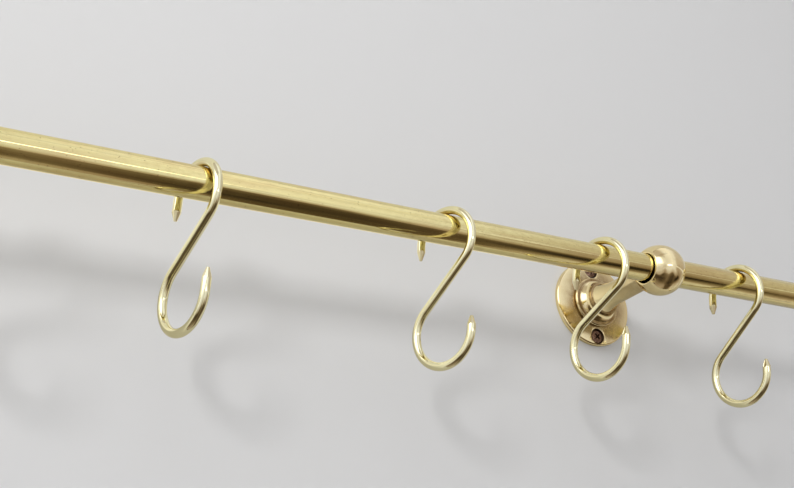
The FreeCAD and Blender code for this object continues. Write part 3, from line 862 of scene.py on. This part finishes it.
def hook_line(wiring, given):
    """The line of the wire, X towards the wall and Y up: legs, loops and stem, joined end to end."""
    upper, lower, spacing = given["Upper loop"], given["Lower loop"], given["Loop spacing"]
    back, front, tip = given["Back leg"], given["Front leg"], given["Point length"]
    slope = wiring.math("ARCSINE", wiring.math("DIVIDE", wiring.math("ADD", upper, lower), spacing))
    cosine, sine = wiring.math("COSINE", slope), wiring.math("SINE", slope)
    sweep = wiring.math("ADD", slope, math.pi)
    drop = wiring.minus(spacing)
    over = wiring.point(upper, 0.0)
    back_shoulder = wiring.point(upper, wiring.minus(back))
    back_tip = wiring.point(upper, wiring.minus(wiring.math("ADD", back, tip)))
    stem_top = wiring.scaled(wiring.point(cosine, sine), wiring.minus(upper))
    stem_foot = wiring.point(wiring.times(lower, cosine), wiring.math("MULTIPLY_ADD", lower, sine, drop))
    front_side = wiring.minus(lower)
    front_height = wiring.math("SUBTRACT", front, spacing)
    turn_up = wiring.point(front_side, drop)
    front_shoulder = wiring.point(front_side, front_height)
    front_tip = wiring.point(front_side, wiring.math("ADD", front_height, tip))

    def straight(start, end):
        return wiring.out("GeometryNodeCurvePrimitiveLine", {"Start": start, "End": end})

    def ground(start, end):
        return wiring.out("GeometryNodeResampleCurve", {"Curve": straight(start, end), "Count": 18})

    def bend(radius, start, turn):
        sizes = {"Resolution": 72, "Radius": radius, "Start Angle": start, "Sweep Angle": turn}
        return wiring.out("GeometryNodeCurveArc", sizes, mode="RADIUS")

    lower_bend = bend(lower, slope, wiring.minus(sweep))
    runs = [
        ground(back_tip, back_shoulder),
        straight(back_shoulder, over),
        bend(upper, 0.0, sweep),
        straight(stem_top, stem_foot),
        wiring.moved(lower_bend, Translation=wiring.point(0.0, drop)),
        straight(turn_up, front_shoulder),
        ground(front_shoulder, front_tip),
    ]
    joined = wiring.node("GeometryNodeJoinGeometry")
    for run in runs:
        wiring.feed(joined.inputs[0], run)
    edges = wiring.out("GeometryNodeCurveToMesh", {"Curve": joined.outputs[0]})
    edges = wiring.out("GeometryNodeMergeByDistance", {"Geometry": edges, "Distance": 0.01 * MM})
    return wiring.out("GeometryNodeMeshToCurve", {"Mesh": edges})


def sweep_wire(wiring, given):
    """Round wire along the line of the hook, which stores where each point lies on it."""
    way = wiring.node("GeometryNodeSplineParameter").outputs
    from_end = wiring.math("SUBTRACT", wiring.out("GeometryNodeSplineLength"), way["Length"])
    line = wiring.store(hook_line(wiring, given), "along", way["Length"])
    line = wiring.store(line, "to_end", wiring.math("MINIMUM", way["Length"], from_end))
    line = wiring.store(line, "middle", wiring.out("GeometryNodeInputPosition"), "FLOAT_VECTOR")
    circle = {"Resolution": 6 * FACETS, "Radius": given["Wire radius"]}
    section = wiring.out("GeometryNodeCurvePrimitiveCircle", circle)
    section = wiring.store(section, "around", way["Factor"])
    swept = {"Curve": line, "Profile Curve": section, "Fill Caps": True}
    return wiring.out("GeometryNodeCurveToMesh", swept)


def grind_points(wiring, given, hook):
    """Grinds flats on both ends, each flat a little steeper or shallower than the next."""
    wire, blunt = given["Wire radius"], given["Point end"]
    facet = wiring.times(wiring.stored("around"), float(FACETS))
    nearest = wiring.math("FLOOR", wiring.math("ADD", facet, 0.5))
    off_facet = wiring.times(wiring.math("SUBTRACT", facet, nearest), math.tau / FACETS)
    number = wiring.math("MODULO", nearest, float(FACETS))
    far_end = wiring.math("GREATER_THAN", wiring.stored("along"), LOOP_SPACING)
    other_draws = 40.0
    draw = wiring.math("MULTIPLY_ADD", far_end, other_draws, wiring.math("ADD", number, given["Seed"]))
    chance = wiring.out("ShaderNodeTexWhiteNoise", {"W": draw}, noise_dimensions="1D")
    steepness = wiring.remap(chance, 0.0, 1.0, 0.90, 1.16)
    rise = wiring.math("DIVIDE", wiring.math("SUBTRACT", wire, blunt), given["Point length"])
    ground = wiring.times(wiring.stored("to_end"), wiring.times(rise, steepness))
    ground = wiring.math("DIVIDE", wiring.math("ADD", ground, blunt), wiring.math("COSINE", off_facet))
    share = wiring.math("MINIMUM", wiring.math("DIVIDE", ground, wire), 1.0)
    hook = wiring.store(hook, "ground", wiring.math("LESS_THAN", share, 0.999))
    centre = wiring.stored("middle", "FLOAT_VECTOR")
    spoke = wiring.vector("SUBTRACT", wiring.out("GeometryNodeInputPosition"), centre)
    place = wiring.vector("ADD", centre, wiring.scaled(spoke, share))
    return wiring.out("GeometryNodeSetPosition", {"Geometry": hook, "Position": place})


def hook_tree():
    """A hook of bent wire with ground ends, stood up and hung in its place."""
    kinds = {name: "NodeSocketFloat" for name in (*HOOK_SIZES, "Loop spacing", "Back leg", "Front leg")}
    kinds.update({"Seed": "NodeSocketInt", "Place": "NodeSocketVector", "Turn": "NodeSocketVector"})
    kinds["Metal"] = "NodeSocketMaterial"
    tree, wiring, given = new_tree("bent_hook", kinds, "Hook")
    hook = grind_points(wiring, given, sweep_wire(wiring, given))
    angle = wiring.times(wiring.stored("around"), math.tau)
    round_wire = [wiring.times(wiring.math(name, angle), given["Wire radius"]) for name in ("COSINE", "SINE")]
    wire_place = wiring.point(wiring.stored("along"), *round_wire)
    hook = wiring.store(hook, "wire_place", wire_place, "FLOAT_VECTOR")
    hook = wiring.moved(hook, Rotation=Euler((math.pi / 2, 0, math.pi / 2)))
    turn = wiring.out("FunctionNodeEulerToRotation", {"Euler": given["Turn"]})
    hook = wiring.moved(hook, Translation=given["Place"], Rotation=turn)
    close_tree(wiring, hook, given["Metal"], "Hook")
    return tree


def make_hooks():
    """Each hook hangs with the inside of its upper loop on the rail."""
    tree = hook_tree()
    drop = UPPER_LOOP - WIRE_R - RAIL_R - HOOK_GAP
    for number, hook in enumerate(HOOKS, 1):
        turn, lean, touch = (math.radians(hook[name]) for name in ("turn", "lean", "touch"))
        hang = Vector((0, math.sin(touch), -math.cos(touch))) * drop
        place = Vector((hook["place"] * MM, -STAND_OFF, 0)) + Matrix.Rotation(turn, 3, "Z") @ hang
        values = {
            **HOOK_SIZES,
            "Loop spacing": LOOP_SPACING + hook["stretch"] * MM,
            "Back leg": hook["back"] * MM,
            "Front leg": hook["front"] * MM,
            "Seed": number * 100,
            "Place": place,
            "Turn": (lean, 0.0, turn),
            "Metal": FINISHES["hook_brass"],
        }
        piece = grow(f"wire_hook_{number}", tree, values, math.radians(13))
        for name in ("along", "to_end", "middle", "around"):
            piece.data.attributes.remove(piece.data.attributes[name])
        finish_piece(piece, f"hook_{number}", "hook_brass", f"s_hook_{number}")


def dress_inner_screws():
    """The stud and the grub screw keep their own shapes and get the steel."""
    for side in SIDES:
        for node in (f"ball_stud_{side}", f"grub_screw_{side}"):
            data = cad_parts[node].data
            data.materials.clear()
            data.materials.append(FINISHES["joining_steel"])


# Studio

STAGE_REACH = 5.0
FLOOR_Z = -0.26
BACKDROP_Y = 0.2 * MM


def pale_floor():
    material, wiring = bare_material("pale_floor")
    surface = wiring.out("ShaderNodeBsdfDiffuse", {"Color": opaque((0.72, 0.72, 0.72))})
    wiring.node("ShaderNodeOutputMaterial", {"Surface": surface})
    return material


def backdrop_glow(wiring, place):
    """What the metal sees glow: a band at a slant, a band behind the rail, and all that is above it."""
    spot = wiring.split(place)
    side, level = spot["X"], spot["Z"]
    facing = wiring.node("ShaderNodeLayerWeight", {"Blend": 0.5}).outputs["Facing"]
    slanted = wiring.rise(facing, 0.5, 0.85, 0.35)
    slanted = wiring.times(slanted, wiring.fall(wiring.apart(level, -0.035), 0.135, 0.18))
    behind_rail = wiring.fall(wiring.apart(level, 0.015), 0.028, 0.045, 0.42)
    left_of_rose = wiring.remap(side, 0.24, 0.3, 1.0, 0.0)
    behind_rail = wiring.times(behind_rail, left_of_rose)
    above_rail = wiring.rise(level, 0.02, 0.05, 0.2)
    return wiring.math("MAXIMUM", wiring.math("MAXIMUM", slanted, behind_rail), above_rail)


def pale_backdrop():
    """Matt and pale, warmer and dimmer in the metal but with a glow, and clear from behind."""
    material, wiring = bare_material("pale_backdrop")
    geometry = wiring.node("ShaderNodeNewGeometry").outputs
    in_metal = wiring.node("ShaderNodeLightPath").outputs["Is Glossy Ray"]
    colour = wiring.mix(in_metal, (0.76, 0.76, 0.765), (0.56, 0.53, 0.46))
    matt = wiring.out("ShaderNodeBsdfDiffuse", {"Color": colour})
    glow = wiring.times(in_metal, backdrop_glow(wiring, geometry["Position"]))
    bright = wiring.out("ShaderNodeEmission", {"Strength": glow})
    surface = wiring.out("ShaderNodeAddShader", {0: matt, 1: bright})
    clear = wiring.out("ShaderNodeBsdfTransparent")
    seen = wiring.out("ShaderNodeMixShader", {0: geometry["Backfacing"], 1: surface, 2: clear})
    wiring.node("ShaderNodeOutputMaterial", {"Surface": seen})
    return material


def stage_sheet(name, corners, material):
    mesh = bmesh.new()
    mesh.faces.new([mesh.verts.new(corner) for corner in corners])
    sheet = new_object(name, mesh)
    sheet.data.materials.append(material)
    return sheet


def make_stage():
    """A pale floor below the rail, and a pale backdrop where the roses rest."""
    reach = STAGE_REACH
    sides = (-reach, reach, reach, -reach)
    depths = (-reach, -reach, reach, reach)
    heights = (FLOOR_Z, FLOOR_Z, reach, reach)
    floor = stage_sheet("floor", [(x, y, FLOOR_Z) for x, y in zip(sides, depths)], pale_floor())
    floor.visible_glossy = False
    stage_sheet("backdrop", [(x, BACKDROP_Y, z) for x, z in zip(sides, heights)], pale_backdrop())


def soft_lamp(name, way, distance, width, watts):
    """A square lamp for the matt surfaces. The metal sees the room of the world instead."""
    lamp = bpy.data.lights.new(name, "AREA")
    lamp.size = width
    lamp.energy = watts
    holder = bpy.data.objects.new(name, lamp)
    holder.location = Vector(way).normalized() * distance
    holder.rotation_euler = (-Vector(way)).to_track_quat("-Z", "Y").to_euler()
    holder.visible_glossy = False
    bpy.context.scene.collection.objects.link(holder)


def make_lights():
    soft_lamp("key", (-0.8, -1.0, 0.39), distance=2.2, width=0.42, watts=15)
    soft_lamp("fill", (-0.5, -0.8, 1.3), distance=1.5, width=1.2, watts=7)
    soft_lamp("rear", (0.4, 1.0, 0.6), distance=2.0, width=1.2, watts=12)


# The room that the metal sees, by the way a ray goes: levels over its height, its depth towards the
# wall, and from left to right. HORIZON_SIDES is how far the walls reach down over the floor
ROOM_HEIGHTS = [
    (-0.44, 0.02), (-0.37, 0.1), (-0.31, 0.42), (-0.05, 0.85), (0.12, 0.88), (0.3, 1.08), (0.6, 1.05),
    (0.9, 1.1),
]
ROOM_SIDES = [
    (-1, 0.95), (-0.6, 0.85), (-0.25, 0.75), (0.07, 0.85), (0.31, 0.95), (0.53, 0.78), (0.68, 0.56), (1, 0.5),
]
HORIZON_SIDES = [
    (-1, 0.05), (-0.5, 0.1), (0.07, 0.22), (0.31, 0.03), (0.415, 0.05), (0.5, 0.1), (0.56, 0.15), (0.7, 0.13),
    (0.78, 0.03), (1, 0),
]
WINDOW_HEIGHTS = [(0.1, 0), (0.26, 1), (0.62, 1), (0.72, 0)]
WINDOW_SIDES = [(-1, 0.6), (-0.88, 1.6), (-0.48, 1.6), (-0.34, 0.2), (-0.1, 0)]
FLOOR_DEPTHS = [
    (-0.85, 0.1), (-0.7, 0.045), (-0.5, 0.035), (-0.32, 0.025), (-0.22, 0.06), (-0.05, 0.16), (0.2, 0.3),
]
FLOOR_SIDES = [
    (-1, 0.05), (-0.3, 0.02), (0.07, 0.12), (0.27, 0.01), (0.45, 0), (0.55, 0.05), (0.63, 0.05), (0.7, 0),
]
STRIP_SIDES = [(-0.1, 0), (0, 1.9), (0.12, 1.9), (0.34, 0), (0.55, 0), (0.63, 0.22), (0.8, 0.22)]
STRIP_HEIGHT = 0.05
LEFT_FRONT_LIFT = 0.2


def level_ramp(wiring, value, stops):
    """A level read from a ramp over -1 to 1, as pairs of a place and a level up to 2."""
    ramp = wiring.node("ShaderNodeValToRGB", {0: wiring.remap(value, -1.0, 1.0)})
    elements = ramp.color_ramp.elements
    while len(elements) < len(stops):
        elements.new(0.5)
    for element, (place, level) in zip(elements, stops):
        element.position = (place + 1) / 2
        element.color = (level / 2, level / 2, level / 2, 1)
    return wiring.times(ramp.outputs[0], 2.0)


def room_level(wiring, way):
    """Panelled walls over a dark floor, with windows on the left and a bright strip at eye height."""
    spot = wiring.split(way)
    across, depth, height = spot["X"], spot["Y"], spot["Z"]
    panels = {"Vector": way, "Scale": 2.6}
    panels = wiring.node("ShaderNodeTexVoronoi", panels, distance="CHEBYCHEV").outputs["Color"]

    raised = wiring.math("ADD", height, level_ramp(wiring, across, HORIZON_SIDES))
    left_front = wiring.times(wiring.remap(across, -0.3, -0.5), wiring.remap(depth, -0.2, -0.5))
    raised = wiring.math("MULTIPLY_ADD", left_front, LEFT_FRONT_LIFT, raised)
    share = level_ramp(wiring, raised, ROOM_HEIGHTS)
    walls = wiring.times(share, level_ramp(wiring, across, ROOM_SIDES))
    walls = wiring.times(walls, wiring.remap(panels, 0.2, 0.8, 0.88, 1.12))
    ceiling = wiring.times(wiring.remap(height, 0.6, 0.8), wiring.remap(across, 0.1, -0.1))
    walls = wiring.times(walls, wiring.remap(ceiling, 0.0, 1.0, 1.0, 0.65))

    floor_panels = wiring.remap(panels, 0.25, 0.75, 0.35, 1.5)
    floor = wiring.times(level_ramp(wiring, depth, FLOOR_DEPTHS), floor_panels)
    floor = wiring.math("ADD", floor, level_ramp(wiring, across, FLOOR_SIDES))
    far_right = wiring.remap(across, 0.58, 0.68, 0.0, 0.4)
    floor = wiring.math("MULTIPLY_ADD", far_right, wiring.remap(depth, -0.38, -0.1), floor)
    uncovered = wiring.math("MAXIMUM", wiring.math("SUBTRACT", 1.0, share), 0.0)
    room = wiring.math("ADD", walls, wiring.times(floor, uncovered))

    windows = level_ramp(wiring, height, WINDOW_HEIGHTS)
    windows = wiring.times(windows, level_ramp(wiring, across, WINDOW_SIDES))
    strip = wiring.remap(wiring.apart(height, STRIP_HEIGHT), 0.025, 0.055, 1.6, 0.0)
    strip = wiring.times(strip, level_ramp(wiring, across, STRIP_SIDES))
    return wiring.math("ADD", strip, wiring.math("ADD", windows, room))


def make_world():
    """Soft light all round. Polished metal sees a room instead, and the camera a pale grey."""
    world = bpy.data.worlds.new("studio")
    world.use_nodes = True
    world.node_tree.nodes.clear()
    bpy.context.scene.world = world
    wiring = Wiring(world.node_tree)
    rays = wiring.node("ShaderNodeLightPath").outputs
    level = room_level(wiring, wiring.node("ShaderNodeTexCoord").outputs["Generated"])
    tint = wiring.mix(wiring.remap(level, 0.1, 0.8), (1.0, 0.72, 0.44), (1.0, 1.0, 1.06))

    def light(colour, strength):
        return wiring.out("ShaderNodeBackground", {"Color": opaque(colour), "Strength": strength})

    def chosen(ray, otherwise, then):
        return wiring.out("ShaderNodeMixShader", {0: rays[ray], 1: otherwise, 2: then})

    seen = chosen("Is Glossy Ray", light((1.0, 0.99, 0.98), 0.5), light(tint, level))
    seen = chosen("Is Camera Ray", seen, light((0.62, 0.62, 0.62), 1.0))
    wiring.node("ShaderNodeOutputWorld", {"Surface": seen})


def make_camera():
    """The photograph's view, from below and to the left of the middle of the rail."""
    place = (-0.0910, -0.47608, -0.21094)
    right = Vector((0.88657124, -0.46176893, -0.02758441))
    ahead = Vector((0.43482687, 0.81152775, 0.39031821))
    lens = bpy.data.cameras.new("view")
    lens.sensor_width = 36.0
    lens.lens = 46.372
    lens.clip_start = 0.01
    camera = bpy.data.objects.new("view", lens)
    camera.matrix_world = axes(right, right.cross(ahead), -ahead, place)
    bpy.context.scene.collection.objects.link(camera)
    bpy.context.scene.camera = camera


make_camera()
make_rail()
for name, side in SIDES.items():
    make_cap(name, side)
    make_rose(name, side)
    make_arm(name, side)
    make_ball(name, side)
make_all_screws()
make_hooks()
dress_inner_screws()
make_stage()
make_lights()
make_world()
bpy.context.scene.view_settings.view_transform = "Standard"
